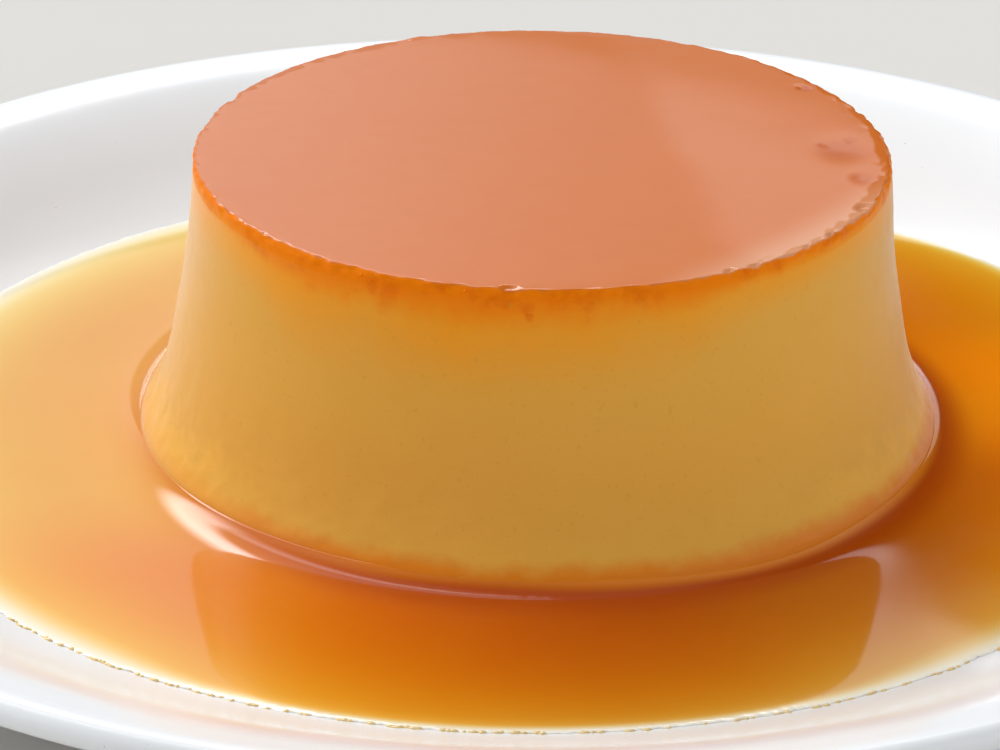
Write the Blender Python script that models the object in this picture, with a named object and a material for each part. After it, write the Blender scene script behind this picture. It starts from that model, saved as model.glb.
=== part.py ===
"""Creme caramel turned out on a porcelain plate, standing in its pool of caramel.

Four solids: the plate, the caramel pool, the custard and the caramel-soaked layer on top of it.
Metres, +Z up. The origin is on the table, under the middle of the plate.
"""

import math

import bmesh
import bpy
from mathutils import Vector, noise

MM = 0.001
GAP = 0.3 * MM  # clearance between touching pieces

# Plate: a coupe plate with a soft lip, on a foot ring
PLATE_RADIUS = 100.2 * MM
PLATE_HEIGHT = 21.4 * MM
FLOOR_RADIUS = 52.0 * MM
FLOOR_HEIGHT = 8.5 * MM
RIM_ROUNDING = 1.6 * MM
WELL_THICKNESS = 4.5 * MM
LIP_THINNING = 0.8 * MM  # how much thinner the wall gets from the well out to the lip
WALL_UNDERSIDE_RADII = (64.0 * MM, 96.0 * MM)
FOOT_RADIUS = 56.0 * MM
FOOT_WIDTH = 5.0 * MM
FOOT_ROUNDING = 0.8 * MM
FOOT_FLARE = 0.6 * MM  # how much wider the foot ring is at its root, on each side
RECESS_FILLET = 2.0 * MM
PLATE_SEGMENTS = 72

# Caramel pool
POOL_LEVEL = 12.0 * MM
POOL_RADIUS = 73.4 * MM
POOL_EDGE_THICKNESS = 0.2 * MM
POOL_WAVE = 0.35 * MM
MENISCUS_RISE = 2.2 * MM
MENISCUS_REACH = 2.4 * MM

# Flan: the custard and its caramel layer together
FLAN_CENTRE = Vector((1.5 * MM, 0.1 * MM, 0.0))
FLAN_BOTTOM = FLOOR_HEIGHT + GAP
FLAN_TOP = 44.95 * MM
TOP_RADIUS = 38.65 * MM
CONTACT_HEIGHT = POOL_LEVEL + MENISCUS_RISE  # where the custard comes out of the caramel
CONTACT_RADIUS = 44.9 * MM
DRAFT = 0.085  # how much the side leans out per unit of height
FLARE_HEIGHT = 6.2 * MM  # over this height the flared foot fades into the straight side
HIDDEN_FLARE = 0.2  # how much the foot leans out per unit of height inside the caramel
TOP_ROUNDING = 0.6 * MM
BOTTOM_ROUNDING = 1.4 * MM
CARAMEL_THICKNESS = 1.5 * MM
SIDE_WAVE = 0.3 * MM
SEAM_WAVE = 0.25 * MM
RIM_WAVE = 0.3 * MM  # how far the highest places of the rim stand above the flat of the top
FLAN_SEGMENTS = 64  # the pool has as many, so that its inner wall follows the flan's facets


def hermite(stations, r):
    """Height at r on the smooth curve through stations of (r, height, slope)."""
    for (r0, z0, m0), (r1, z1, m1) in zip(stations, stations[1:]):
        if r <= r1:
            break
    width = r1 - r0
    t = min(max((r - r0) / width, 0.0), 1.0)
    rise = z0 * (2 * t**3 - 3 * t**2 + 1) + z1 * (3 * t**2 - 2 * t**3)
    return rise + width * (m0 * (t**3 - 2 * t**2 + t) + m1 * (t**3 - t**2))


PLATE_WALL = [
    (FLOOR_RADIUS, FLOOR_HEIGHT, 0.0),
    (POOL_RADIUS, POOL_LEVEL - GAP - POOL_EDGE_THICKNESS, 0.30),
    (82.6 * MM, 15.3 * MM, 0.54),
    (92.0 * MM, 19.8 * MM, 0.38),
    (95.4 * MM, 20.8 * MM, 0.20),
    (PLATE_RADIUS - RIM_ROUNDING, PLATE_HEIGHT, 0.0),
]


def plate_top(r):
    """Height of the plate's upper surface at radius r."""
    return FLOOR_HEIGHT if r < FLOOR_RADIUS else hermite(PLATE_WALL, r)


def spread(start, end, steps):
    """Even steps from start to end, both included."""
    return [start + (end - start) * i / steps for i in range(steps + 1)]


def arc(centre, radius, start, end, steps):
    """Points (r, z) on an arc, in degrees from +r towards +z."""
    turns = [math.radians(degrees) for degrees in spread(start, end, steps)]
    return [(centre[0] + radius * math.cos(a), centre[1] + radius * math.sin(a)) for a in turns]


def plate_outline():
    """The plate's half section, from the middle of the well over the lip and back under the foot."""
    inner = PLATE_RADIUS - RIM_ROUNDING
    upper = [(0.0, FLOOR_HEIGHT)]
    upper += [(r, plate_top(r)) for r in spread(FLOOR_RADIUS, inner, 11)[:-1]]
    lip = arc((inner, PLATE_HEIGHT - RIM_ROUNDING), RIM_ROUNDING, 90, -70, 5)
    below = [
        (r, plate_top(r) - WELL_THICKNESS + LIP_THINNING * (r / PLATE_RADIUS) ** 4)
        for r in reversed(spread(*WALL_UNDERSIDE_RADII, 4))
    ]
    recess = FLOOR_HEIGHT - WELL_THICKNESS
    foot_inside = FOOT_RADIUS - FOOT_WIDTH
    foot = [(FOOT_RADIUS + FOOT_FLARE, recess)]
    foot += arc((FOOT_RADIUS - FOOT_ROUNDING, FOOT_ROUNDING), FOOT_ROUNDING, 0, -90, 2)
    foot += arc((foot_inside + FOOT_ROUNDING, FOOT_ROUNDING), FOOT_ROUNDING, -90, -180, 2)
    foot += [(foot_inside - FOOT_FLARE, recess - FOOT_FLARE), (foot_inside - RECESS_FILLET, recess)]
    foot += [(0.0, recess)]
    return upper + lip + below + foot


def flan_radius(z):
    """Radius of the flan at height z: a drafted side that flares where it has settled into the pool."""
    above = z - CONTACT_HEIGHT
    flare = CONTACT_RADIUS - TOP_RADIUS - (FLAN_TOP - CONTACT_HEIGHT) * DRAFT
    flare = flare * math.exp(-above / FLARE_HEIGHT) if above > 0 else flare - above * HIDDEN_FLARE
    return TOP_RADIUS + (FLAN_TOP - z) * DRAFT + flare


def flan_surface(angle, z, clearance=0.0):
    """A point on the flan's uneven side, or that far outside it."""
    reach = flan_radius(z) + side_wave(angle, z) + clearance
    return Vector((reach * math.cos(angle), reach * math.sin(angle), z))


def side_wave(angle, z):
    """How far the flan's side swells out or in at this place."""
    around = Vector((math.cos(angle), math.sin(angle), z / (18.0 * MM)))
    return SIDE_WAVE * noise.noise(around * 1.7)


def seam_height(angle):
    """Height where the caramel layer ends on the flan's side."""
    wave = math.sin(3 * angle + 0.6) + 0.7 * math.sin(7 * angle + 2.0) + 0.4 * math.sin(12 * angle)
    return FLAN_TOP - CARAMEL_THICKNESS + SEAM_WAVE * wave / 2


def rim_lift(angle):
    """How far the rim of the caramel layer stands up here: low humps with level stretches between them."""
    wave = math.sin(5 * angle + 0.5) + 0.6 * math.sin(9 * angle + 1.3)
    return RIM_WAVE * max(wave, 0.0) / 1.6


def revolve(outline, segments):
    """A bmesh of the outline (r, z) turned once round the Z axis."""
    bm = bmesh.new()
    verts = [bm.verts.new((r, 0.0, z)) for r, z in outline]
    edges = [bm.edges.new(pair) for pair in zip(verts, verts[1:])]
    bmesh.ops.spin(
        bm,
        geom=verts + edges,
        cent=(0, 0, 0),
        axis=(0, 0, 1),
        angle=2 * math.pi,
        steps=segments,
        use_merge=True,
    )
    bmesh.ops.remove_doubles(bm, verts=bm.verts, dist=0.001 * MM)
    return bm


def colour_material(name, colour, roughness):
    """A plain Principled material."""
    material = bpy.data.materials.new(name)
    material.use_nodes = True
    shader = material.node_tree.nodes["Principled BSDF"]
    shader.inputs["Base Color"].default_value = (*colour, 1.0)
    shader.inputs["Roughness"].default_value = roughness
    shader.inputs["Metallic"].default_value = 0.0
    return material


def finish(bm, name, material, location=(0.0, 0.0, 0.0)):
    """Turns a bmesh into a named, smooth-shaded object."""
    bmesh.ops.recalc_face_normals(bm, faces=bm.faces)
    mesh = bpy.data.meshes.new(name)
    bm.to_mesh(mesh)
    bm.free()
    mesh.shade_smooth()
    mesh.set_sharp_from_angle(angle=math.radians(40))
    mesh.materials.append(material)
    thing = bpy.data.objects.new(name, mesh)
    thing.location = location
    bpy.context.scene.collection.objects.link(thing)
    return thing


def make_plate():
    """White coupe plate with a foot ring."""
    porcelain = colour_material("porcelain", (0.80, 0.79, 0.77), 0.12)
    return finish(revolve(plate_outline(), PLATE_SEGMENTS), "plate", porcelain)


def make_custard():
    """The custard: a low drafted drum with a flared, rounded foot and a flat top."""
    sides = 7
    flat_top = FLAN_TOP - CARAMEL_THICKNESS - GAP
    straight_bottom = FLAN_BOTTOM + BOTTOM_ROUNDING
    shown = flat_top - CONTACT_HEIGHT
    heights = [straight_bottom, POOL_LEVEL]
    heights += [CONTACT_HEIGHT + shown * (i / sides) ** 1.4 for i in range(sides + 1)]
    foot_radius = flan_radius(straight_bottom)
    foot = arc((foot_radius - BOTTOM_ROUNDING, straight_bottom), BOTTOM_ROUNDING, 0, -90, 3)[1:]
    outline = [(0.0, flat_top), (TOP_RADIUS * 0.6, flat_top)]
    outline += [(flan_radius(z), z) for z in reversed(heights)]
    outline += foot + [(TOP_RADIUS * 0.6, FLAN_BOTTOM), (0.0, FLAN_BOTTOM)]
    bm = revolve(outline, FLAN_SEGMENTS)
    for vert in bm.verts:
        radius = math.hypot(vert.co.x, vert.co.y)
        if radius < TOP_RADIUS * 0.7:
            continue
        angle = math.atan2(vert.co.y, vert.co.x)
        share = (vert.co.z - FLAN_BOTTOM) / (flat_top - FLAN_BOTTOM)
        vert.co.z += share**3 * (seam_height(angle) - GAP - flat_top)
        vert.co *= Vector(((radius + side_wave(angle, vert.co.z)) / radius,) * 2 + (1.0,))
    custard = colour_material("custard", (0.72, 0.42, 0.12), 0.35)
    return finish(bm, "custard", custard, FLAN_CENTRE)


def make_caramel_top():
    """The caramel-soaked layer: a thin disc with a rounded rim and a wavy lower edge."""
    underside = FLAN_TOP - CARAMEL_THICKNESS
    rim = arc((TOP_RADIUS - TOP_ROUNDING, FLAN_TOP - TOP_ROUNDING), TOP_ROUNDING, 90, 0, 4)
    outline = [(0.0, FLAN_TOP), (TOP_RADIUS * 0.6, FLAN_TOP)] + rim
    outline += [(flan_radius(underside), underside), (TOP_RADIUS * 0.6, underside), (0.0, underside)]
    bm = revolve(outline, FLAN_SEGMENTS)
    for vert in bm.verts:
        radius = math.hypot(vert.co.x, vert.co.y)
        if radius < TOP_RADIUS * 0.7:
            continue
        angle = math.atan2(vert.co.y, vert.co.x)
        share = (FLAN_TOP - vert.co.z) / CARAMEL_THICKNESS
        vert.co.z += share * (seam_height(angle) - underside)
        if share < 1.0 and radius > TOP_RADIUS - 1.5 * TOP_ROUNDING:
            vert.co.z += (1.0 - share) * rim_lift(angle)
        vert.co *= Vector(((radius + side_wave(angle, vert.co.z)) / radius,) * 2 + (1.0,))
    caramel = colour_material("caramel_layer", (0.45, 0.11, 0.01), 0.12)
    return finish(bm, "caramel_top", caramel, FLAN_CENTRE)


def pool_edge(angle):
    """Radius of the pool round the plate's middle, a little wavy."""
    wave = math.sin(2 * angle + 1.1) + 0.6 * math.sin(5 * angle) + 0.5 * math.sin(11 * angle + 0.8)
    return POOL_RADIUS - POOL_WAVE + POOL_WAVE * wave / 2


def pool_point(angle, share, storey):
    """A point of the pool: share is 0 at the flan and 1 at the edge, storey 0 below and 1 on top."""
    wall_height = {0.0: FLAN_BOTTOM, 0.5: POOL_LEVEL, 1.0: CONTACT_HEIGHT}[storey]
    inner = FLAN_CENTRE + flan_surface(angle, wall_height, GAP)
    if share == 0.0:
        return inner
    edge = pool_edge(angle)
    outer = Vector((edge * math.cos(angle), edge * math.sin(angle), wall_height))
    place = inner.lerp(outer, share)
    if storey == 0.0:
        place.z = plate_top(place.xy.length) + GAP
        return place
    rise = MENISCUS_RISE * math.exp(-(place - inner).length / MENISCUS_REACH)
    roll = 0.5 * POOL_EDGE_THICKNESS * math.exp(-(outer - place).length / MENISCUS_REACH)
    place.z = POOL_LEVEL + rise - roll
    return place


def make_pool():
    """The caramel pool: a ring of liquid that climbs the flan's foot and thins out on the plate's wall."""
    surface = [(share, 1.0) for share in (0.0, 0.03, 0.07, 0.12, 0.2, 0.35, 0.6, 0.85, 0.95, 1.0)]
    underside = [(share, 0.0) for share in (1.0, 0.85, 0.6, 0.35, 0.0)]
    section = [(1.0 + share, storey) for share, storey in surface + underside + [(0.0, 0.5)]]
    bm = revolve(section + section[:1], FLAN_SEGMENTS)
    for vert in bm.verts:
        share = round(vert.co.xy.length - 1.0, 4)
        angle = math.atan2(vert.co.y, vert.co.x)
        vert.co = pool_point(angle, share, round(vert.co.z, 1))
    sauce = colour_material("caramel_sauce", (0.55, 0.15, 0.01), 0.08)
    return finish(bm, "caramel_pool", sauce)


def main():
    """Clears the scene and makes the four pieces."""
    for old in list(bpy.data.objects):
        bpy.data.objects.remove(old)
    make_plate()
    make_pool()
    make_custard()
    make_caramel_top()


main()
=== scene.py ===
"""Looks of a creme caramel turned out on a porcelain plate, in its pool of thin caramel."""

import math
import random

import bmesh
import bpy
from mathutils import Matrix, Vector, noise


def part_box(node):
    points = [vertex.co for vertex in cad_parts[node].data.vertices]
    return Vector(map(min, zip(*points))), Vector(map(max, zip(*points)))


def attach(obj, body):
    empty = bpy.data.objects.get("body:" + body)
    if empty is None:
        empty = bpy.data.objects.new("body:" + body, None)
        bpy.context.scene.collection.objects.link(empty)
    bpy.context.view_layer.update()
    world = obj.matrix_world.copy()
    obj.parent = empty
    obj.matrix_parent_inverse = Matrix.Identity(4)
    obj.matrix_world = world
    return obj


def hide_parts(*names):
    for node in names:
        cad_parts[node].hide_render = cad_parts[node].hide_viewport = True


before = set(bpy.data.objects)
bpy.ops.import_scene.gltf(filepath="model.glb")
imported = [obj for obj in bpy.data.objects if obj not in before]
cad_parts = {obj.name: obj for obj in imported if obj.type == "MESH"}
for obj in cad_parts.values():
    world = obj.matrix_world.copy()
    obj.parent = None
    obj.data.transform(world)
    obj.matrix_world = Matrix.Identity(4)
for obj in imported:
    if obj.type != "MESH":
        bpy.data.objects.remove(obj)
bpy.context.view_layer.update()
mm = 0.001

# ---------------------------------------------------------------------------------------------
# Plate
# A white porcelain coupe plate, turned on a wheel and dipped in clear glaze. Its well rises in
# one soft curve to a narrow lip, and it stands on a foot ring that is ground flat.
# ---------------------------------------------------------------------------------------------
plate_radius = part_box("plate")[1].x
plate_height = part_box("plate")[1].z
well_radius = 52.0 * mm
well_floor = 8.5 * mm
rim_rounding = 1.6 * mm
plate_thickness = 4.5 * mm
lip_thinning = 0.8 * mm
foot_radius = 56.0 * mm
foot_width = 5.0 * mm
foot_rounding = 0.8 * mm
foot_flare = 0.6 * mm

# (radius, height, slope) along the upper surface from the flat well to the rim
wall_stations = [
    (well_radius, well_floor, 0.0),
    (73.4 * mm, 11.5 * mm, 0.30),
    (82.6 * mm, 15.3 * mm, 0.54),
    (92.0 * mm, 19.8 * mm, 0.38),
    (95.4 * mm, 20.8 * mm, 0.20),
    (plate_radius - rim_rounding, plate_height, 0.0),
]


def plate_top(r):
    """Height of the plate's upper surface at radius r."""
    if r <= well_radius:
        return well_floor
    for (r0, z0, m0), (r1, z1, m1) in zip(wall_stations, wall_stations[1:]):
        if r <= r1:
            break
    width = r1 - r0
    t = min((r - r0) / width, 1.0)
    rise = z0 * (2 * t**3 - 3 * t**2 + 1) + z1 * (3 * t**2 - 2 * t**3)
    return rise + width * (m0 * (t**3 - 2 * t**2 + t) + m1 * (t**3 - t**2))


def spread(start, end, steps):
    """Even steps from start to end, both included."""
    return [start + (end - start) * i / steps for i in range(steps + 1)]


def arc(centre, radius, start, end, steps):
    """Points (r, z) on an arc, in degrees from +r towards +z."""
    turns = [math.radians(degrees) for degrees in spread(start, end, steps)]
    return [(centre[0] + radius * math.cos(a), centre[1] + radius * math.sin(a)) for a in turns]


def turned(outline, segments, sectors=10):
    """A bmesh of the outline (r, z) turned round the Z axis: one sector, copied all the way round."""
    bm = bmesh.new()
    verts = [bm.verts.new((r, 0.0, z)) for r, z in outline]
    edges = [bm.edges.new(pair) for pair in zip(verts, verts[1:])]
    axis = {"cent": (0, 0, 0), "axis": (0, 0, 1)}
    sector = 2 * math.pi / sectors
    bmesh.ops.spin(bm, geom=verts + edges, angle=sector, steps=segments // sectors, **axis)
    whole = bm.verts[:] + bm.edges[:] + bm.faces[:]
    rest = 2 * math.pi - sector
    bmesh.ops.spin(bm, geom=whole, angle=rest, steps=sectors - 1, use_duplicate=True, **axis)
    bmesh.ops.remove_doubles(bm, verts=bm.verts, dist=0.0005 * mm)
    return bm


def piece(bm, name, material, replaced=(), crease=50):
    """Turns a bmesh into a finished piece that rides on the one body."""
    bmesh.ops.recalc_face_normals(bm, faces=bm.faces)
    mesh = bpy.data.meshes.new(name)
    bm.to_mesh(mesh)
    bm.free()
    mesh.shade_smooth()
    mesh.set_sharp_from_angle(angle=math.radians(crease))
    mesh.materials.append(material)
    thing = bpy.data.objects.new(name, mesh)
    bpy.context.scene.collection.objects.link(thing)
    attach(thing, "root")
    if replaced:
        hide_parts(*replaced)


def new_material(name):
    """A material with its Principled shader: returns the material, its node tree and the shader."""
    material = bpy.data.materials.new(name)
    material.use_nodes = True
    tree = material.node_tree
    return material, tree, tree.nodes["Principled BSDF"]


def node(tree, kind, **values):
    """Adds a node. Values are its properties, or its inputs by name where it has no such property."""
    made = tree.nodes.new(kind)
    for key, value in values.items():
        if hasattr(made, key):
            setattr(made, key, value)
        else:
            made.inputs[key].default_value = value
    return made


def math_node(tree, operation, a, b=0.0, clamp=False):
    """A Math node: a and b are numbers or sockets. Returns its output."""
    made = node(tree, "ShaderNodeMath", operation=operation, use_clamp=clamp)
    for socket, value in zip(made.inputs, (a, b)):
        if isinstance(value, (int, float)):
            socket.default_value = value
        else:
            tree.links.new(value, socket)
    return made.outputs[0]


def ramp(tree, value, low, high, to_low=0.0, to_high=1.0):
    """A smooth step from to_low at low to to_high at high. Returns its output."""
    made = node(tree, "ShaderNodeMapRange", interpolation_type="SMOOTHSTEP")
    for socket, number in zip(made.inputs[1:5], (low, high, to_low, to_high)):
        socket.default_value = number
    tree.links.new(value, made.inputs[0])
    return made.outputs[0]


def mix(tree, share, a, b, blend="MIX"):
    """Mixes two colours, each a triple or a socket, by a number or socket. Returns its output."""
    made = node(tree, "ShaderNodeMix", data_type="RGBA", blend_type=blend)
    for socket, value in zip((made.inputs[0], made.inputs[6], made.inputs[7]), (share, a, b)):
        if isinstance(value, (int, float)):
            socket.default_value = value
        elif isinstance(value, tuple):
            socket.default_value = (*value, 1.0)
        else:
            tree.links.new(value, socket)
    return made.outputs[2]


def noise_of(tree, position, scale, detail=2.0, roughness=0.5, stretch=(1.0, 1.0, 1.0)):
    """Noise from 0 to 1 with this many cells per metre. Returns its output."""
    mapping = node(tree, "ShaderNodeMapping")
    mapping.inputs["Scale"].default_value = stretch
    tree.links.new(position, mapping.inputs["Vector"])
    made = node(tree, "ShaderNodeTexNoise", Scale=scale, Detail=detail, Roughness=roughness)
    tree.links.new(mapping.outputs[0], made.inputs["Vector"])
    return made.outputs[0]


def bump(tree, shader, height, distance, strength=1.0, socket="Normal"):
    """Puts a bump of this real height, in metres, on the shader."""
    made = node(tree, "ShaderNodeBump", Strength=strength, Distance=distance)
    tree.links.new(height, made.inputs["Height"])
    tree.links.new(made.outputs[0], shader.inputs[socket])


def plate_outline():
    """The plate's half section: well, wall, lip, back, foot ring and recess."""
    inner = plate_radius - rim_rounding
    upper = [(0.0, well_floor), (well_radius * 0.5, well_floor)]
    upper += [(r, plate_top(r)) for r in spread(well_radius, inner, 60)[:-1]]
    lip = arc((inner, plate_height - rim_rounding), rim_rounding, 90, -70, 16)
    below = [
        (r, plate_top(r) - plate_thickness + lip_thinning * (r / plate_radius) ** 4)
        for r in spread(96.0 * mm, 62.0 * mm, 22)
    ]
    recess = well_floor - plate_thickness
    foot_inside = foot_radius - foot_width
    foot = [(foot_radius + foot_flare, recess), (foot_radius + 0.1 * mm, recess - 0.5 * mm)]
    foot += arc((foot_radius - foot_rounding, foot_rounding), foot_rounding, 0, -90, 6)
    foot += arc((foot_inside + foot_rounding, foot_rounding), foot_rounding, -90, -180, 6)
    foot += arc((foot_inside - 3 * foot_flare, recess - 2 * foot_flare), 2 * foot_flare, 30, 90, 4)
    foot += [(0.0, recess)]
    return upper + lip + below + foot


def porcelain():
    """Glazed porcelain: milky white, faintly uneven in tone, with the soft ripple of poured glaze."""
    material, tree, shader = new_material("porcelain")
    place = node(tree, "ShaderNodeTexCoord").outputs["Object"]
    clouds = noise_of(tree, place, 18.0, 3.0)
    tint = mix(tree, clouds, (0.80, 0.815, 0.83), (0.83, 0.845, 0.86))
    specks = ramp(tree, noise_of(tree, place, 1500.0, 1.0), 0.80, 0.84)
    colour = mix(tree, specks, tint, (0.60, 0.57, 0.52))
    tree.links.new(colour, shader.inputs["Base Color"])
    smears = ramp(tree, noise_of(tree, place, 60.0, 4.0), 0.35, 0.75, 0.17, 0.25)
    tree.links.new(smears, shader.inputs["Roughness"])
    shader.inputs["IOR"].default_value = 1.5
    ripple = noise_of(tree, place, 45.0, 1.0)
    bump(tree, shader, ripple, 0.10 * mm)
    return material


piece(turned(plate_outline(), 260), "plate_glazed", porcelain(), ["plate"])

# ---------------------------------------------------------------------------------------------
# Custard
# A low drum of set egg custard, baked in a drafted mould and turned out. Its side keeps the fine
# pores of the baking, and its foot has settled and flared a little in the caramel.
# ---------------------------------------------------------------------------------------------
flan_centre = Vector((1.5 * mm, 0.1 * mm, 0.0))
flan_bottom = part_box("custard")[0].z
flan_top = 44.95 * mm
top_radius = 38.65 * mm
contact_height = 14.2 * mm  # where the custard comes out of the caramel
contact_radius = 44.9 * mm
draft = 0.085
flare_height = 6.2 * mm
hidden_flare = 0.2
caramel_thickness = 1.5 * mm
flan_segments = 640
# (direction in degrees, height, size, strength) of each drip of caramel under the rim
drips = [
    (-92.7, 42.9 * mm, 0.9 * mm, 0.75),
    (-92.2, 41.9 * mm, 0.5 * mm, 0.50),
    (-95.6, 43.8 * mm, 1.0 * mm, 0.60),
    (-114.5, 43.5 * mm, 1.2 * mm, 0.75),
    (-117.5, 43.7 * mm, 1.0 * mm, 0.70),
    (-101.0, 43.9 * mm, 0.7 * mm, 0.50),
    (-72.0, 43.8 * mm, 0.8 * mm, 0.45),
]


def flan_radius(z):
    """Radius of the flan at height z: a drafted side that flares where it has settled into the pool."""
    above = z - contact_height
    flare = contact_radius - top_radius - (flan_top - contact_height) * draft
    flare = flare * math.exp(-above / flare_height) if above > 0 else flare - above * hidden_flare
    return top_radius + (flan_top - z) * draft + flare


def slow_wave(angle, z):
    """How far the flan's side swells out or in at this place."""
    around = Vector((math.cos(angle), math.sin(angle), z / (18.0 * mm)))
    return 0.3 * mm * noise.noise(around * 1.7)


def side_wave(angle, z):
    """The slow wave with the small lumps of the skin on it, which are strongest on the flared foot."""
    above = max(z - contact_height, 0.0)
    on_flare = math.exp(-above / (6.0 * mm)) * min(above / (0.8 * mm), 1.0)
    spot = Vector((math.cos(angle), math.sin(angle), z / (42.0 * mm)))
    lumps = noise.noise(spot * 15.0) * 0.18 * mm + noise.noise(spot * 34.0) * 0.10 * mm
    return slow_wave(angle, z) + lumps * on_flare


def seam_height(angle):
    """Height where the caramel layer ends on the flan's side."""
    wave = math.sin(3 * angle + 0.6) + 0.7 * math.sin(7 * angle + 2.0) + 0.4 * math.sin(12 * angle)
    return flan_top - caramel_thickness + 0.125 * mm * wave


def bell(distance, width):
    """A smooth bump of height 1 that fades over this width."""
    return math.exp(-((distance / width) ** 2))


def degrees_between(angle, direction):
    """How many degrees an angle in radians lies past a direction in degrees, from -180 to 180."""
    return (math.degrees(angle) - direction + 180.0) % 360.0 - 180.0


def custard_mesh():
    """The custard up to the caramel layer, with its uneven side."""
    seam = flan_top - caramel_thickness
    rounding = 1.4 * mm
    lowest = flan_bottom + rounding
    outline = [(0.0, seam), (top_radius * 0.5, seam)]
    outline += [(flan_radius(z), z) for z in spread(seam, contact_height + 7.0 * mm, 32)]
    outline += [(flan_radius(z), z) for z in spread(contact_height + 7.0 * mm, lowest, 30)[1:]]
    outline += arc((flan_radius(lowest) - rounding, lowest), rounding, 0, -90, 4)[1:]
    outline += [(top_radius * 0.5, flan_bottom), (0.0, flan_bottom)]
    bm = turned(outline, flan_segments)
    for vert in bm.verts:
        reach = vert.co.xy.length
        if reach < top_radius * 0.7:
            continue
        angle = math.atan2(vert.co.y, vert.co.x)
        share = max((vert.co.z - contact_height) / (seam - contact_height), 0.0)
        vert.co.z += share**3 * (seam_height(angle) - seam)
        swell = (reach + side_wave(angle, vert.co.z)) / reach
        vert.co.x *= swell
        vert.co.y *= swell
    bmesh.ops.translate(bm, verts=bm.verts, vec=flan_centre)
    return bm


def stain_group():
    """The colour of the flan's side: pale custard, with a caramel stain under the rim and at the foot.
    The deep band under the rim is partly painted light: its bright red stands in for light shining
    through the soaked rim.
    """
    group = bpy.data.node_groups.new("caramel stain", "ShaderNodeTree")
    group.interface.new_socket("Position", in_out="INPUT", socket_type="NodeSocketVector")
    group.interface.new_socket("Colour", in_out="OUTPUT", socket_type="NodeSocketColor")
    group.interface.new_socket("Wet", in_out="OUTPUT", socket_type="NodeSocketFloat")
    place = node(group, "NodeGroupInput").outputs["Position"]
    split = node(group, "ShaderNodeSeparateXYZ")
    group.links.new(place, split.inputs[0])
    height = split.outputs["Z"]
    from_rim = math_node(group, "SUBTRACT", flan_top, height)
    thin_right = ramp(group, split.outputs["X"], 12.0 * mm, 36.0 * mm, 1.0, 2.6)
    thin_left = ramp(group, split.outputs["X"], -37.0 * mm, -22.0 * mm, 2.1, 1.0)
    thinner = math_node(group, "MULTIPLY", thin_right, thin_left)
    below_rim = math_node(group, "MULTIPLY", from_rim, thinner)
    patches = noise_of(group, place, 70.0, 3.0, 0.55, (1.0, 1.0, 0.8))
    fine = noise_of(group, place, 380.0, 3.0, 0.6, (1.0, 1.0, 0.7))
    shaken = math_node(group, "MULTIPLY", math_node(group, "SUBTRACT", fine, 0.5), 2.6 * mm)
    run = math_node(group, "MULTIPLY", math_node(group, "SUBTRACT", patches, 0.5), 10.0 * mm)
    wide = ramp(group, math_node(group, "ADD", below_rim, run), 0.0, 14.0 * mm, 1.0, 0.0)
    near = math_node(group, "ADD", below_rim, math_node(group, "MULTIPLY", run, 0.3))
    deep = ramp(group, math_node(group, "ADD", near, shaken), 0.6 * mm, 4.8 * mm, 1.0, 0.0)
    clouds = noise_of(group, place, 60.0, 4.0, 0.6)
    pale = mix(group, clouds, (0.72, 0.365, 0.050), (0.74, 0.390, 0.064))
    soaked = mix(group, wide, pale, (0.86, 0.32, 0.012))
    # Caramel stain under the rim, partly painted light: its bright deep red stands in for light shining
    # through the soaked rim.
    stain_and_glow = mix(group, deep, soaked, (0.86, 0.205, 0.001))
    dark = ramp(group, noise_of(group, place, 260.0, 4.0, 0.6), 0.50, 0.72)
    spots = math_node(group, "MULTIPLY", math_node(group, "MULTIPLY", dark, deep), 0.90)
    spotted = mix(group, spots, stain_and_glow, (0.72, 0.14, 0.001))
    grit = math_node(group, "SUBTRACT", noise_of(group, place, 900.0, 3.0, 0.7), 0.5)
    marks = 0.0
    for direction, z, size, strength in drips:
        turn = math.radians(direction)
        reach = flan_radius(z)
        spot = flan_centre + Vector((reach * math.cos(turn), reach * math.sin(turn), z))
        gap = node(group, "ShaderNodeVectorMath", operation="DISTANCE")
        gap.inputs[1].default_value = spot
        group.links.new(place, gap.inputs[0])
        strayed = math_node(group, "MULTIPLY", grit, 2.0 * mm)
        ragged = math_node(group, "ADD", gap.outputs["Value"], strayed)
        mark = ramp(group, ragged, size * 0.35, size * 1.3, strength, 0.0)
        marks = math_node(group, "ADD", mark, marks)
    dripped = mix(group, marks, spotted, (0.76, 0.155, 0.001))
    blotches = math_node(group, "SUBTRACT", noise_of(group, place, 230.0, 3.0, 0.62), 0.5)
    at_sides = ramp(group, split.outputs["Y"], -38.0 * mm, -22.0 * mm, 0.12, 0.75)
    above_pool = math_node(group, "ADD", height, math_node(group, "MULTIPLY", blotches, 13.0 * mm))
    foot = ramp(group, above_pool, contact_height + 1.0 * mm, contact_height + 6.5 * mm, 1.0, 0.0)
    warm = mix(group, math_node(group, "MULTIPLY", foot, at_sides), dripped, (0.84, 0.44, 0.065))
    film = math_node(group, "ADD", height, math_node(group, "MULTIPLY", blotches, 2.2 * mm))
    dry_left = ramp(group, split.outputs["X"], -44.0 * mm, -20.0 * mm, 0.25, 1.0)
    wet = ramp(group, film, contact_height - 0.1 * mm, contact_height + 2.2 * mm, 1.0, 0.0)
    wet = math_node(group, "MULTIPLY", wet, dry_left)
    full = mix(group, wet, warm, (0.72, 0.205, 0.002))
    out = node(group, "NodeGroupOutput")
    group.links.new(full, out.inputs["Colour"])
    group.links.new(wet, out.inputs["Wet"])
    return group


caramel_stain = stain_group()


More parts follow.
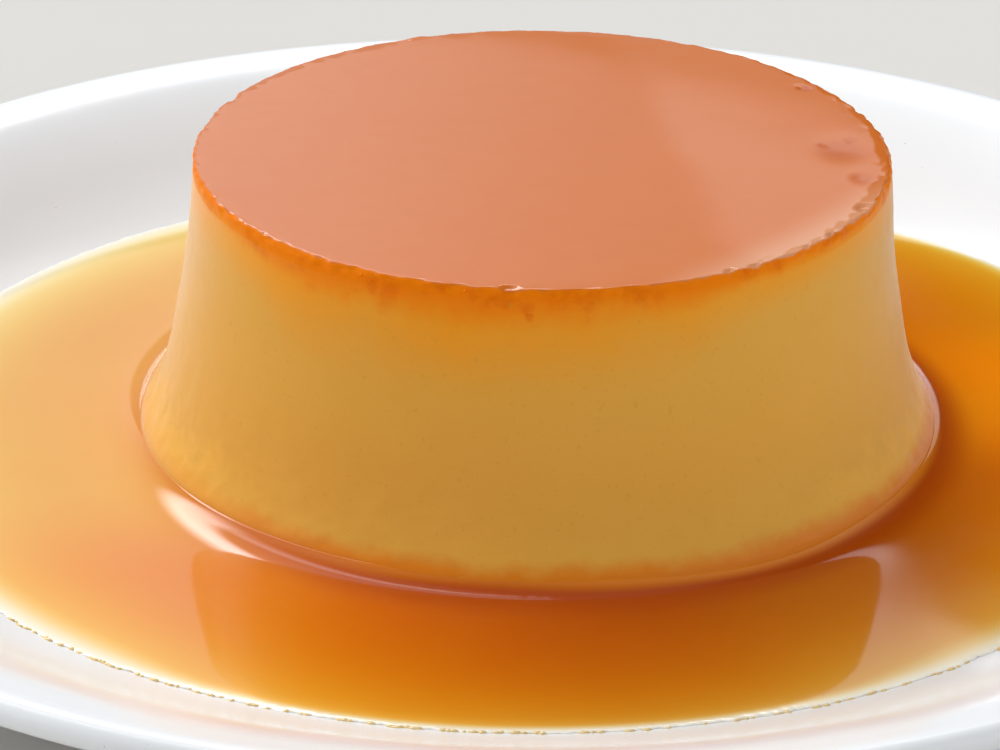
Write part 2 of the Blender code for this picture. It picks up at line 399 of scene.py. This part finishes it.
def custard_material():
    """Set custard: faintly mottled, pricked by fine pores that are darkened with painted shade, with a
    moist skin that is wet at the foot.
    """
    material, tree, shader = new_material("custard")
    place = node(tree, "ShaderNodeTexCoord").outputs["Object"]
    stain = node(tree, "ShaderNodeGroup")
    stain.node_tree = caramel_stain
    tree.links.new(place, stain.inputs["Position"])
    pores = ramp(tree, noise_of(tree, place, 2600.0, 0.0), 0.74, 0.82)
    few = ramp(tree, noise_of(tree, place, 1100.0, 0.0), 0.80, 0.86)
    pricks = math_node(tree, "MAXIMUM", pores, few)
    # Painted shade: the pores are darkened in colour as well as sunk in the bump.
    faint = math_node(tree, "MULTIPLY", pricks, 0.28)
    colour = mix(tree, faint, stain.outputs["Colour"], (0.62, 0.30, 0.03))
    tree.links.new(colour, shader.inputs["Base Color"])
    shine = ramp(tree, noise_of(tree, place, 250.0, 3.0), 0.3, 0.7, 0.30, 0.42)
    tree.links.new(shine, shader.inputs["Roughness"])
    tree.links.new(math_node(tree, "MULTIPLY", stain.outputs["Wet"], 0.35), shader.inputs["Coat Weight"])
    shader.inputs["Coat IOR"].default_value = 1.4
    shader.inputs["Coat Roughness"].default_value = 0.10
    shader.inputs["IOR"].default_value = 1.4
    shader.inputs["Specular IOR Level"].default_value = 0.08
    shader.inputs["Sheen Weight"].default_value = 0.60
    shader.inputs["Sheen Roughness"].default_value = 0.34
    shader.inputs["Sheen Tint"].default_value = (1.0, 0.97, 0.92, 1.0)
    grain = noise_of(tree, place, 900.0, 3.0, 0.6)
    relief = math_node(tree, "SUBTRACT", math_node(tree, "MULTIPLY", grain, 0.5), pricks)
    bump(tree, shader, relief, 0.015 * mm)
    return material


piece(custard_mesh(), "custard_drum", custard_material(), ["custard"], 60)

# ---------------------------------------------------------------------------------------------
# Caramel layer
# The top of the flan, the bottom of the mould: custard soaked dark by the caramel it was baked
# on, under a mirror film of syrup. Its rim is nicked where it left the mould.
# ---------------------------------------------------------------------------------------------
rim_rounding_of_flan = 0.45 * mm
painted_reflection_direction = -40.0  # in degrees, where the top is painted paler near the rim: a painted reflection

# (direction in degrees, width, how far in from the rim, how deep) of each nick in the rim
nicks = [
    (-95.3, 1.9 * mm, 0.95 * mm, 0.28 * mm),
    (-59.1, 0.9 * mm, 0.80 * mm, 0.24 * mm),
    (-54.6, 1.1 * mm, 0.60 * mm, 0.26 * mm),
    (-47.4, 1.2 * mm, 0.35 * mm, 0.14 * mm),
    (-42.9, 0.9 * mm, 0.60 * mm, 0.24 * mm),
    (-36.5, 1.1 * mm, 0.60 * mm, 0.26 * mm),
    (-30.0, 1.0 * mm, 0.40 * mm, 0.16 * mm),
    (-23.6, 2.3 * mm, 1.40 * mm, 0.32 * mm),
    (-128.0, 0.9 * mm, 0.35 * mm, 0.14 * mm),
    (-141.0, 1.1 * mm, 0.40 * mm, 0.14 * mm),
    (155.9, 2.6 * mm, 0.70 * mm, 0.30 * mm),
    (64.0, 1.6 * mm, 0.50 * mm, 0.20 * mm),
    (20.0, 1.2 * mm, 0.40 * mm, 0.18 * mm),
]
# (direction in degrees, distance from the middle, width along it, width across, depth) of each hollow
hollows = [
    (2.1, 33.3 * mm, 2.6 * mm, 3.4 * mm, 0.024 * mm),
    (-11.2, 35.8 * mm, 1.5 * mm, 2.0 * mm, 0.014 * mm),
    (33.7, 36.4 * mm, 0.7 * mm, 0.9 * mm, 0.035 * mm),
    (5.5, 31.6 * mm, 0.6 * mm, 0.9 * mm, 0.010 * mm),
    (7.0, 34.6 * mm, 0.6 * mm, 0.9 * mm, 0.010 * mm),
]
# (direction in degrees, distance from the middle, inner and outer radius, strength) of each patch of
# painted shade in a hollow of the top
hollow_shades = [
    (2.1, 33.3 * mm, 3.0 * mm, 4.2 * mm, 0.50),
    (-11.2, 35.8 * mm, 1.6 * mm, 2.5 * mm, 0.40),
    (33.7, 36.4 * mm, 0.8 * mm, 1.6 * mm, 0.55),
    (7.0, 34.8 * mm, 0.5 * mm, 1.3 * mm, 0.50),
    (5.0, 31.4 * mm, 0.5 * mm, 1.2 * mm, 0.35),
]
# (direction in degrees, height under the top) of each droplet of syrup on the side, with its radius
droplets = [
    (-119.5, 0.65 * mm, 0.20 * mm),
    (-117.7, 1.05 * mm, 0.16 * mm),
    (-102.1, 0.55 * mm, 0.20 * mm),
]


def nick_share(angle, inward):
    """How far into a nick this place of the rim is, from 0 to 1, and how deep that nick is."""
    for direction, width, reach, depth in nicks:
        along = math.radians(degrees_between(angle, direction)) * top_radius / (width / 2)
        if abs(along) > 1.4:
            continue
        far = math.hypot(along, inward / reach)
        inside = min(max((1.2 - far) / 0.4, 0.0), 1.0)
        return inside * inside * (3.0 - 2.0 * inside), depth
    return 0.0, 0.0


def top_relief(angle, reach):
    """Height of the top over its flat: a slow swell, a slump near the rim, hollows and one crumb."""
    x, y = reach * math.cos(angle), reach * math.sin(angle)
    height = 0.02 * mm * noise.noise(Vector((x, y, 0.0)) / (22.0 * mm))
    from_rim = max(top_radius - reach, 0.0)
    height -= 0.05 * mm * bell(degrees_between(angle, -70.0), 26.0) * math.exp(-from_rim / (3.6 * mm))
    ragged = 0.5 + 0.9 * noise.noise(Vector((x, y, 9.0 * mm)) / (1.6 * mm))
    height -= 0.13 * mm * max(ragged, 0.0) * math.exp(-from_rim / (0.45 * mm))
    if reach < 26.0 * mm:
        return height
    for direction, distance, across, along, depth in hollows:
        turn = math.radians(degrees_between(angle, direction))
        height -= depth * bell(reach - distance, across) * bell(turn * distance, along)
    crumb = bell(degrees_between(angle, 112.6) / 2.4, 1.0) * bell(from_rim - 0.3 * mm, 0.6 * mm)
    height += 0.24 * mm * crumb * (0.7 + 0.6 * noise.noise(Vector((x, y, 1.0)) / (0.8 * mm)))
    height += 0.03 * mm * noise.noise(Vector((x, y, 5.0)) / (0.9 * mm)) * math.exp(-from_rim / (0.5 * mm))
    return height


def cap_mesh():
    """The caramel layer: a flat top, a narrow rounded rim and a short side down to the seam."""
    underside = flan_top - caramel_thickness
    inner = top_radius - rim_rounding_of_flan
    skirt_top = flan_top - rim_rounding_of_flan
    outline = [(0.0, flan_top)]
    outline += [(r, flan_top) for r in spread(inner * 0.1, inner - 9.0 * mm, 12)]
    outline += [(r, flan_top) for r in spread(inner - 8.7 * mm, inner - 2.7 * mm, 20)]
    outline += [(r, flan_top) for r in spread(inner - 2.55 * mm, inner - 0.12 * mm, 18)]
    outline += arc((inner, skirt_top), rim_rounding_of_flan, 90, 0, 8)
    outline += [(flan_radius(z), z) for z in spread(skirt_top, underside, 8)[1:]]
    outline += [(top_radius * 0.5, underside), (0.0, underside)]
    bm = turned(outline, flan_segments)
    film = bm.verts.layers.float.new("film")
    for vert in bm.verts:
        reach = vert.co.xy.length
        angle = math.atan2(vert.co.y, vert.co.x)
        share = (flan_top - vert.co.z) / caramel_thickness
        broken = 0.16 * noise.noise(Vector((angle * top_radius, 0.0, 6.0 * mm)) / (1.3 * mm))
        vert[film] = min(max(1.0 - (share - 0.02 - max(broken, 0.0)) / 0.10, 0.0), 1.0)
        if share < 0.01:
            vert.co.z += top_relief(angle, reach)
        if reach < top_radius * 0.7:
            continue
        inward = max(top_radius - reach, 0.0)
        inside, depth = nick_share(angle, inward) if inward < 2.5 * mm else (0.0, 0.0)
        down = max(share - 0.2, 0.0) / 0.8
        nicked = inside * max(1.0 - down, 0.0) ** 2
        ragged = noise.noise(Vector((angle * top_radius, vert.co.z, 2.0 * mm)) / (1.5 * mm))
        ragged += 0.6 * noise.noise(Vector((angle * top_radius, vert.co.z, 4.0 * mm)) / (0.6 * mm))
        at_rim = bell(share - 0.15, 0.45) * min(max(1.0 - inward / (1.2 * mm), 0.0), 1.0)
        rough = 0.30 * mm * ragged * at_rim
        swell = side_wave(angle, vert.co.z) + rough - 1.2 * depth * nicked * share
        vert.co.z += share * (seam_height(angle) - underside) - depth * nicked * (1.0 - 0.5 * share)
        vert.co.x *= (reach + swell) / reach
        vert.co.y *= (reach + swell) / reach
    for direction, below, size in droplets:
        turn = math.radians(direction)
        z = flan_top - below
        out = flan_radius(z) + side_wave(turn, z)
        place = Matrix.Translation((out * math.cos(turn), out * math.sin(turn), z))
        bmesh.ops.create_icosphere(bm, subdivisions=2, radius=size, matrix=place)
    bmesh.ops.translate(bm, verts=bm.verts, vec=flan_centre)
    return bm


def cap_material():
    """Caramel-soaked custard under a glossy film of syrup, with a painted reflection near the front-right
    rim and painted shade in the hollows of its top.
    """
    material, tree, shader = new_material("caramel_layer")
    place = node(tree, "ShaderNodeTexCoord").outputs["Object"]
    stain = node(tree, "ShaderNodeGroup")
    stain.node_tree = caramel_stain
    tree.links.new(place, stain.inputs["Position"])
    on_top = node(tree, "ShaderNodeAttribute", attribute_name="film").outputs["Fac"]
    clouds = noise_of(tree, place, 40.0, 4.0, 0.55)
    glaze = mix(tree, clouds, (0.58, 0.134, 0.008), (0.62, 0.150, 0.012))
    moved = node(tree, "ShaderNodeVectorMath", operation="SUBTRACT")
    moved.inputs[1].default_value = flan_centre + Vector((0.0, 0.0, flan_top))
    tree.links.new(place, moved.inputs[0])
    reach = node(tree, "ShaderNodeVectorMath", operation="LENGTH")
    tree.links.new(moved.outputs[0], reach.inputs[0])
    reflection_side = node(tree, "ShaderNodeVectorMath", operation="DOT_PRODUCT")
    towards = math.radians(painted_reflection_direction)
    reflection_side.inputs[1].default_value = (math.cos(towards), math.sin(towards), 0.0)
    tree.links.new(moved.outputs[0], reflection_side.inputs[0])
    # Painted reflection: near the rim towards the front right the top is painted a pale pink, where the
    # window's glare lies on the syrup film.
    facing = ramp(tree, reflection_side.outputs["Value"], 0.80 * top_radius, 1.0 * top_radius)
    near_rim = ramp(tree, reach.outputs["Value"], top_radius - 9.0 * mm, top_radius)
    painted_glare = math_node(tree, "MULTIPLY", math_node(tree, "MULTIPLY", facing, near_rim), 0.75)
    glaze = mix(tree, painted_glare, glaze, (0.72, 0.36, 0.20))
    # Painted shade: the top is painted darker in its hollows.
    for direction, distance, across, along, share in hollow_shades:
        turn = math.radians(direction)
        spot = flan_centre + Vector((distance * math.cos(turn), distance * math.sin(turn), flan_top))
        gap = node(tree, "ShaderNodeVectorMath", operation="DISTANCE")
        gap.inputs[1].default_value = spot
        tree.links.new(place, gap.inputs[0])
        shade_in_hollow = ramp(tree, gap.outputs["Value"], 0.3 * across, along, share, 0.0)
        glaze = mix(tree, shade_in_hollow, glaze, (0.48, 0.075, 0.003))
    colour = mix(tree, on_top, stain.outputs["Colour"], glaze)
    tree.links.new(colour, shader.inputs["Base Color"])
    side = ramp(tree, noise_of(tree, place, 250.0, 3.0), 0.3, 0.7, 0.30, 0.42)
    tree.links.new(side, shader.inputs["Roughness"])
    shader.inputs["Specular IOR Level"].default_value = 0.04
    tree.links.new(on_top, shader.inputs["Coat Weight"])
    shader.inputs["Coat IOR"].default_value = 1.33
    shader.inputs["Coat Roughness"].default_value = 0.035
    grain = noise_of(tree, place, 35.0, 2.0)
    bump(tree, shader, grain, 0.02 * mm, socket="Coat Normal")
    return material


piece(cap_mesh(), "caramel_cap", cap_material(), ["caramel_top"], 70)

# ---------------------------------------------------------------------------------------------
# Caramel pool
# Thin caramel syrup that ran off the flan when the mould was lifted. It lies level in the well,
# climbs the custard's foot in a meniscus, and ends in a thin rounded edge on the plate's wall.
# ---------------------------------------------------------------------------------------------
pool_level = 12.0 * mm
pool_radius = 73.0 * mm
meniscus_reach = 2.0 * mm
film_reach = 0.6 * mm
edge_reach = 5.4 * mm
sunk = 0.3 * mm  # how far the pool reaches into the custard, so that no gap shows
into_wall = 0.03 * mm  # how far its underside reaches into the plate
under_flan = 0.33 * mm
edge_thickness = 0.08 * mm
thinnest = 0.02 * mm
pool_segments = 1600
bead_count = 210
absorption = (0.06, 0.28, 1.15)  # of red, green and blue light, per millimetre of syrup


def meniscus_rise(angle):
    """How far the syrup climbs the flan: highest in front, lowest at the right of that."""
    front = 0.5 * mm * bell(degrees_between(angle, -96.0), 13.0)
    right = 0.75 * mm * bell(degrees_between(angle, -55.0), 17.0)
    left_side = 0.8 * mm * bell(degrees_between(angle, 180.0), 40.0)
    right_side = 0.5 * mm * bell(degrees_between(angle, 0.0), 35.0)
    return contact_height - pool_level + front - right - left_side - right_side


def pool_edge(angle):
    """Radius of the pool round the plate's middle: a slow wave, and one bulge at the back right."""
    wave = math.sin(2 * angle + 1.1) + 0.6 * math.sin(5 * angle) + 0.5 * math.sin(11 * angle + 0.8)
    return pool_radius + 0.12 * mm * wave + 1.3 * mm * bell(degrees_between(angle, 38.0), 18.0)


def scallop(angle):
    """How far the drying edge bulges out or in here: small lobes a millimetre or two long."""
    turn = Vector((math.cos(angle), math.sin(angle), 0.0)) * pool_radius
    lobes = 1.0 - abs(math.sin(angle * 140.0 + 9.0 * noise.noise(turn / (9.0 * mm)))) ** 0.7
    shown = 0.5 + 0.7 * noise.noise(turn / (5.0 * mm))
    return 0.25 * mm * noise.noise(turn / (2.4 * mm)) - 0.50 * mm * lobes * shown


def frontness(angle):
    """1 where the syrup keeps its colour right up to its edge, 0 where it thins out slowly."""
    return bell((degrees_between(angle, -90.0) / 28.0) ** 2, 1.0)


def add_beads(bm, depth, away):
    """Tiny beads of syrup that dried along the pool's edge."""
    dice = random.Random(7)
    for _ in range(bead_count):
        direction = math.radians(dice.uniform(-165.0, -20.0))
        out = pool_edge(direction) + scallop(direction) + dice.uniform(-0.20, 0.15) * mm
        length, width = dice.uniform(0.25, 0.80) * mm, dice.uniform(0.20, 0.42) * mm
        place = Matrix.Translation((out * math.cos(direction), out * math.sin(direction), plate_top(out)))
        shape = Matrix.Diagonal((width, length, dice.uniform(0.18, 0.32) * mm, 1.0))
        turn = Matrix.Rotation(direction, 4, "Z")
        made = bmesh.ops.create_icosphere(bm, subdivisions=1, radius=1.0, matrix=place @ turn @ shape)
        for vert in made["verts"]:
            vert[depth] = 0.8
            vert[away] = 30.0


def pool_mesh():
    """The pool's surface from the flan to its edge, closed below by the plate's own shape."""
    reach = pool_radius - contact_radius
    near = [-sunk / mm, 0.0, 0.15, 0.35, 0.6, 0.9, 1.25, 1.65, 2.1, 2.6, 3.2, 4.0, 5.0, 6.3]
    far = [0.0, 0.08, 0.2, 0.35, 0.55, 0.8, 1.1, 1.5, 2.0, 2.6, 3.4, 4.5, 6.0, 7.6]
    surface = [d * mm / reach for d in near] + spread(0.3, 0.66, 9)
    surface += [1 - d * mm / reach for d in reversed(far)]
    below = [1.0, 0.85, 0.5, surface[0]]
    section = [(1.0 + share, 1.0) for share in surface] + [(1.0 + share, 0.0) for share in below]
    bm = turned(section + section[:1], pool_segments)
    depth = bm.verts.layers.float.new("depth")
    away = bm.verts.layers.float.new("away")
    for vert in bm.verts:
        share = vert.co.xy.length - 1.0
        angle = math.atan2(vert.co.y, vert.co.x)
        on_top = vert.co.z > 0.5
        rise = meniscus_rise(angle)
        contact_at = pool_level + rise if on_top else flan_bottom
        turn = Vector((math.cos(angle), math.sin(angle), 0.0))
        inner = flan_centre + turn * (flan_radius(contact_at) + side_wave(angle, contact_at))
        edge = turn * pool_edge(angle)
        place = inner.lerp(edge, share)
        from_flan = (place - inner).length if share > 0 else 0.0
        to_edge = (edge - place).length
        place += turn * scallop(angle) * math.exp(-to_edge / (0.45 * mm))
        floor = plate_top(place.xy.length)
        film = 0.25 - 0.20 * bell(degrees_between(angle, 180.0), 48.0)
        climb = (1.0 - film) * math.exp(-from_flan / meniscus_reach)
        climb += film * math.exp(-from_flan / film_reach)
        lip = 0.06 * mm * math.exp(-to_edge / (0.12 * mm))
        drop = pool_level - plate_top(edge.length) - edge_thickness
        shallow = edge_reach + 3.0 * mm * bell(degrees_between(angle, -138.0), 30.0)
        fall = drop * math.exp(-to_edge / shallow) + lip
        if on_top:
            place.z = pool_level + rise * climb - fall
        else:
            place.z = max(floor - into_wall, flan_bottom - under_flan)
        if on_top and share > 0.9:
            place.z = max(place.z, floor + thinnest)
        inside_edge = 1.0 - math.exp(-((to_edge / (1.7 * mm)) ** 2))
        full_colour = 1.7 * frontness(angle) + 2.5 * bell(degrees_between(angle, 38.0), 34.0)
        tone = full_colour * inside_edge
        vert[depth] = max(place.z - floor, 0.0) / mm + tone
        vert[away] = from_flan / mm
        vert.co = place
    add_beads(bm, depth, away)
    return bm


def syrup_material():
    """Thin caramel over white porcelain: it colours with its depth, as clear syrup does. On top of that,
    painted shade darkens it in front of the flan and at its foot, painted light brightens it to the
    flan's right, and its thin edge is painted paler as a highlight.
    """
    material, tree, shader = new_material("caramel_syrup")
    place = node(tree, "ShaderNodeTexCoord").outputs["Object"]
    depth = node(tree, "ShaderNodeAttribute", attribute_name="depth").outputs["Fac"]
    away = node(tree, "ShaderNodeAttribute", attribute_name="away").outputs["Fac"]
    swirl = ramp(tree, noise_of(tree, place, 30.0, 3.0), 0.3, 0.7, 0.95, 1.05)
    path = math_node(tree, "MULTIPLY", depth, swirl)
    # Painted highlight: thin syrup is made paler than its depth alone gives, standing in for the glare on
    # the pool's thin edge.
    path = math_node(tree, "MULTIPLY", path, ramp(tree, depth, 0.0, 1.7, 0.4, 1.0))
    lost = [math_node(tree, "MULTIPLY", path, -per_mm) for per_mm in absorption]
    passed = [math_node(tree, "EXPONENT", power) for power in lost]
    tint = node(tree, "ShaderNodeCombineColor")
    for channel, socket in zip(passed, tint.inputs):
        tree.links.new(channel, socket)
    clear = mix(tree, 1.0, tint.outputs[0], (0.86, 0.83, 0.77), "MULTIPLY")
    split = node(tree, "ShaderNodeSeparateXYZ")
    tree.links.new(place, split.inputs[0])
    # Painted shadow: in front of the flan and towards its front right the syrup is painted darker and
    # redder, where the flan's shadow falls. Far to the right it is painted a little lighter again.
    rightward = math_node(tree, "MULTIPLY", math_node(tree, "MAXIMUM", split.outputs["X"], 0.0), -0.5)
    in_front = ramp(tree, math_node(tree, "ADD", split.outputs["Y"], rightward), -18.0 * mm, -42.0 * mm)
    painted_shadow = math_node(tree, "MULTIPLY", in_front, ramp(tree, away, 2.0, 26.0, 1.0, 0.75))
    leftness = ramp(tree, split.outputs["X"], -34.0 * mm, 12.0 * mm)
    tan = mix(tree, leftness, (1.0, 0.58, 0.07), (0.82, 0.47, 0.12))
    tan = mix(tree, ramp(tree, split.outputs["X"], 36.0 * mm, 60.0 * mm), tan, (1.06, 0.60, 0.10))
    painted_shadow = math_node(tree, "MULTIPLY", painted_shadow, ramp(tree, depth, 0.1, 1.6))
    brown = mix(tree, painted_shadow, (1.0, 1.0, 1.0), tan)
    syrup_with_painted_light = mix(tree, 1.0, clear, brown, "MULTIPLY")
    # Painted light: to the right of the flan, beside its shadow, the syrup is painted brighter.
    painted_light_right = ramp(tree, split.outputs["X"], 40.0 * mm, 54.0 * mm)
    for low, high in ((-16.0, 2.0), (32.0, 12.0)):
        painted_light_right = math_node(tree, "MULTIPLY", painted_light_right, ramp(tree, split.outputs["Y"], low * mm, high * mm))
    syrup_with_painted_light = mix(tree, painted_light_right, syrup_with_painted_light, mix(tree, 1.0, syrup_with_painted_light, (1.34, 1.22, 0.6), "MULTIPLY"))
    # Painted shade: close to the flan's foot the syrup is painted dark red-brown. It is strongest in
    # front and on the right and faint on the left (shaded). The thin line right against the custard is
    # the custard's wet foot seen through the syrup, also weaker on the left.
    shaded = ramp(tree, split.outputs["X"], -40.0 * mm, -8.0 * mm, 0.06, 1.0)
    near = math_node(tree, "MULTIPLY", ramp(tree, away, 0.8, 5.5, 0.9, 0.0), shaded)
    dark = mix(tree, near, syrup_with_painted_light, (0.46, 0.065, 0.001))
    thin = math_node(tree, "MULTIPLY", ramp(tree, away, 0.0, 1.1, 1.0, 0.0), shaded)
    colour = mix(tree, thin, dark, (0.72, 0.205, 0.003))
    tree.links.new(colour, shader.inputs["Base Color"])
    shader.inputs["IOR"].default_value = 1.4
    film = ramp(tree, noise_of(tree, place, 80.0, 3.0), 0.3, 0.7, 0.05, 0.09)
    tree.links.new(film, shader.inputs["Roughness"])
    ripple = noise_of(tree, place, 25.0, 1.0)
    bump(tree, shader, ripple, 0.02 * mm)
    return material


piece(pool_mesh(), "caramel_syrup_pool", syrup_material(), ["caramel_pool"], 70)

# ---------------------------------------------------------------------------------------------
# Studio
# A plain pale table top, and light from a tall window behind and to the left of the plate, with
# a dimmer room all round.
# ---------------------------------------------------------------------------------------------


def table_material():
    """Pale matt laminate, faintly clouded."""
    material, tree, shader = new_material("table_top")
    place = node(tree, "ShaderNodeTexCoord").outputs["Object"]
    clouds = noise_of(tree, place, 6.0, 3.0)
    tint = mix(tree, clouds, (0.63, 0.61, 0.575), (0.67, 0.65, 0.615))
    tree.links.new(tint, shader.inputs["Base Color"])
    shader.inputs["Roughness"].default_value = 0.85
    shader.inputs["Specular IOR Level"].default_value = 0.2
    return material


bm = bmesh.new()
bmesh.ops.create_circle(bm, cap_ends=True, cap_tris=False, segments=96, radius=4.0)
table_mesh = bpy.data.meshes.new("table_top")
bm.to_mesh(table_mesh)
bm.free()
table_mesh.materials.append(table_material())
table = bpy.data.objects.new("table_top", table_mesh)
bpy.context.scene.collection.objects.link(table)


brightness = 0.86


def window_light():
    """The world: a window with a bright sky in its upper part, half shut by a blind, and a pale room."""
    world = bpy.data.worlds.new("studio")
    world.use_nodes = True
    tree = world.node_tree
    tree.nodes.clear()
    split = node(tree, "ShaderNodeSeparateXYZ")
    tree.links.new(node(tree, "ShaderNodeTexCoord").outputs["Generated"], split.inputs[0])
    x, y, z = split.outputs
    degrees = 180.0 / math.pi
    around = math_node(tree, "MULTIPLY", math_node(tree, "ARCTAN2", x, y), degrees)
    up = math_node(tree, "MULTIPLY", math_node(tree, "ARCSINE", z), degrees)
    sill = math_node(tree, "SUBTRACT", up, math_node(tree, "MULTIPLY", around, 0.24))
    blind = ramp(tree, sill, 20.2, 20.9, 0.38, 1.0)
    blind = math_node(tree, "MAXIMUM", blind, ramp(tree, around, -52.0, -26.0, 1.0, 0.0))
    above_ground = ramp(tree, up, -2.0, 4.0)
    # a dark block outside hides the lower right part of the window
    beside_block = ramp(tree, around, 4.6, 5.0, 1.0, 0.0)
    block_top = math_node(tree, "SUBTRACT", up, math_node(tree, "MULTIPLY", around, 1.1))
    clear = math_node(tree, "MAXIMUM", beside_block, ramp(tree, block_top, 20.8, 21.7))
    left_end = ramp(tree, around, -70.0, -15.0, 0.40, 1.0)
    far_left = ramp(tree, around, -130.0, -105.0)
    right_end = ramp(tree, around, 16.0, 20.0, 1.0, 0.0)
    low = ramp(tree, around, -5.5, 2.5, 1.72, 0.82)
    low = math_node(tree, "ADD", low, ramp(tree, around, 4.4, 5.2, 0.0, 0.85))
    pane_edge = math_node(tree, "ADD", math_node(tree, "MULTIPLY", up, -0.6), around)
    pane = math_node(tree, "ADD", low, ramp(tree, pane_edge, -11.1, -10.5, 0.0, 0.5))
    pane = math_node(tree, "MULTIPLY", pane, left_end)
    sky_height = math_node(tree, "ADD", up, math_node(tree, "MULTIPLY", around, -0.11))
    sky = ramp(tree, sky_height, 34.5, 41.0, 0.0, 11.3)
    sky_right = ramp(tree, around, 6.0, 8.0, 1.0, 0.0)
    for factor in (sky_right, ramp(tree, around, -84.0, -48.0)):
        sky = math_node(tree, "MULTIPLY", sky, factor)
    fade = ramp(tree, up, 42.0, 46.5, 1.0, 0.13)
    fade = math_node(tree, "MAXIMUM", fade, ramp(tree, around, -64.0, -40.0, 0.6, 0.0))
    window = math_node(tree, "ADD", pane, sky)
    for factor in (blind, above_ground, clear, far_left, right_end, fade):
        window = math_node(tree, "MULTIPLY", window, factor)
    sides = math_node(tree, "MULTIPLY", math_node(tree, "MULTIPLY", x, x), 0.50)
    sides = math_node(tree, "ADD", sides, ramp(tree, x, 0.2, 1.0, 0.0, 0.70))
    behind = ramp(tree, y, -0.1, 0.75, 1.0, 0.04)
    room = math_node(tree, "MULTIPLY", math_node(tree, "ADD", sides, 0.62), behind)
    room = math_node(tree, "MULTIPLY", room, ramp(tree, up, 38.0, 66.0, 1.0, 0.32))
    ceiling = ramp(tree, up, 50.0, 75.0, 0.0, 0.28)
    light = math_node(tree, "ADD", math_node(tree, "ADD", window, room), ceiling)
    light = math_node(tree, "MULTIPLY", light, brightness)
    lit = node(tree, "ShaderNodeBackground")
    tree.links.new(light, lit.inputs["Strength"])
    lit.inputs["Color"].default_value = (0.97, 0.985, 1.0, 1.0)
    seen = node(tree, "ShaderNodeBackground", Strength=0.85)
    seen.inputs["Color"].default_value = (0.95, 0.94, 0.92, 1.0)
    choose = node(tree, "ShaderNodeMixShader")
    tree.links.new(node(tree, "ShaderNodeLightPath").outputs["Is Camera Ray"], choose.inputs[0])
    tree.links.new(lit.outputs[0], choose.inputs[1])
    tree.links.new(seen.outputs[0], choose.inputs[2])
    tree.links.new(choose.outputs[0], node(tree, "ShaderNodeOutputWorld").inputs[0])
    bpy.context.scene.world = world


window_light()

# ---------------------------------------------------------------------------------------------
# Camera
# A short telephoto, close to the plate and looking down on it at about 25 degrees.
# ---------------------------------------------------------------------------------------------
look_at = Vector((-2.88, 0.12, 17.53)) * mm
distance = 545.05 * mm
looking_down = math.radians(24.564)
roll = math.radians(0.569)
forward = Vector((0.0, math.cos(looking_down), -math.sin(looking_down)))
camera_data = bpy.data.cameras.new("camera")
camera_data.lens = 172.8
camera_data.sensor_width = 36.0
camera_data.clip_start = 0.01
camera = bpy.data.objects.new("camera", camera_data)
turn = forward.to_track_quat("-Z", "Y").to_matrix() @ Matrix.Rotation(roll, 3, "Z")
camera.matrix_world = Matrix.Translation(look_at - forward * distance) @ turn.to_4x4()
bpy.context.scene.collection.objects.link(camera)
bpy.context.scene.camera = camera
bpy.context.scene.view_settings.view_transform = "Standard"
